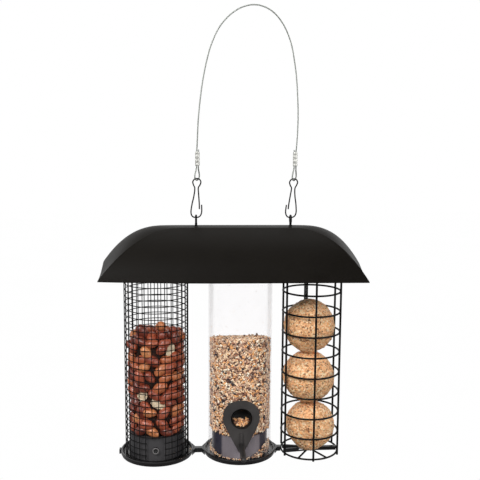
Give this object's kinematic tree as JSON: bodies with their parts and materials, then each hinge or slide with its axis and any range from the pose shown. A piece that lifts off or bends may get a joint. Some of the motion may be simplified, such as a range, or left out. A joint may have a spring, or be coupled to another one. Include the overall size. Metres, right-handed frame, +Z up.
{
  "type": "hanging bird feeder",
  "caption": "Hanging wild-bird feeder with a nut mesh tube, a clear seed tube and a fat-ball cage in a row under an arched roof, on a cable loop.",
  "frame": {"origin": "middle of the roof's length and depth, on the plane under the trays", "axes": "+Z up, +X along the row of feeders from the nut tube to the fat-ball cage, -Y the front with the port seen in the picture"},
  "size_m": [0.289, 0.1598, 0.5093],
  "materials": {
    "steel_cable": "twisted steel strand, light grey",
    "ferrule": "crimped, satin",
    "clip_wire": "black, semi-gloss",
    "roof_sheet": "dark warm black, satin",
    "black_wire": "black powder coat",
    "zinc_steel": "zinc plated",
    "base_plastic": "black moulded plastic",
    "clear_tube": "clear plastic, slightly hazed",
    "port_plastic": "dark grey moulded plastic",
    "peanut_skin": "reddish brown peanut skins, some split cream kernels",
    "seed_mix": "mixed grain and seed",
    "fat_ball": "suet with grain, waxy"
  },
  "bodies": {
    "hanger": {"hang_wire": "steel_cable", "wire_eye_left": "steel_cable", "wire_eye_right": "steel_cable", "ferrule_left": "ferrule", "ferrule_right": "ferrule"},
    "clip_left": {"clip_left": "clip_wire"},
    "clip_right": {"clip_right": "clip_wire"},
    "roof": {"roof_shell": "roof_sheet"},
    "feeder": {"eye_rod_left": "black_wire", "eye_rod_right": "black_wire", "roof_rest_left": "zinc_steel", "roof_rest_right": "zinc_steel", "cross_bar_left": "black_wire", "cross_bar_right": "black_wire", "top_rails": "black_wire", "nut_collar": "base_plastic", "seed_collar": "base_plastic", "nut_mesh_uprights": "black_wire", "nut_mesh_rings": "black_wire", "nut_base": "base_plastic", "lock_stud": "zinc_steel", "seed_tube": "clear_tube", "seed_base": "base_plastic", "port_front": "port_plastic", "port_back": "port_plastic", "perch_front": "port_plastic", "perch_back": "port_plastic", "link_left": "base_plastic", "link_right": "base_plastic", "link_end": "base_plastic", "cage_rings": "black_wire", "cage_uprights": "black_wire", "cage_floor": "black_wire", "cage_bar": "base_plastic", "peanuts": "peanut_skin", "seed_mix": "seed_mix", "fat_ball_1": "fat_ball", "fat_ball_2": "fat_ball", "fat_ball_3": "fat_ball"}
  },
  "joints": [
    {"name": "clip_left_swing", "type": "hinge", "parent": "hanger", "child": "clip_left", "pos_m": [-0.04, 0, 0.3198], "axis": [1, 0, 0], "range_deg": [-30, 30]},
    {"name": "clip_right_swing", "type": "hinge", "parent": "hanger", "child": "clip_right", "pos_m": [0.0688, 0, 0.3198], "axis": [1, 0, 0], "range_deg": [-30, 30]},
    {"name": "feeder_swing", "type": "hinge", "parent": "clip_left", "child": "feeder", "pos_m": [-0.041, 0, 0.27625], "axis": [1, 0, 0], "range_deg": [-40, 40]},
    {"name": "roof_lift", "type": "slide", "parent": "feeder", "child": "roof", "axis": [0, 0, 1], "range_m": [0, 0.007]}
  ],
  "couplings": [
    {"joint": "clip_right_swing", "follows": "clip_left_swing", "ratio": 1}
  ]
}
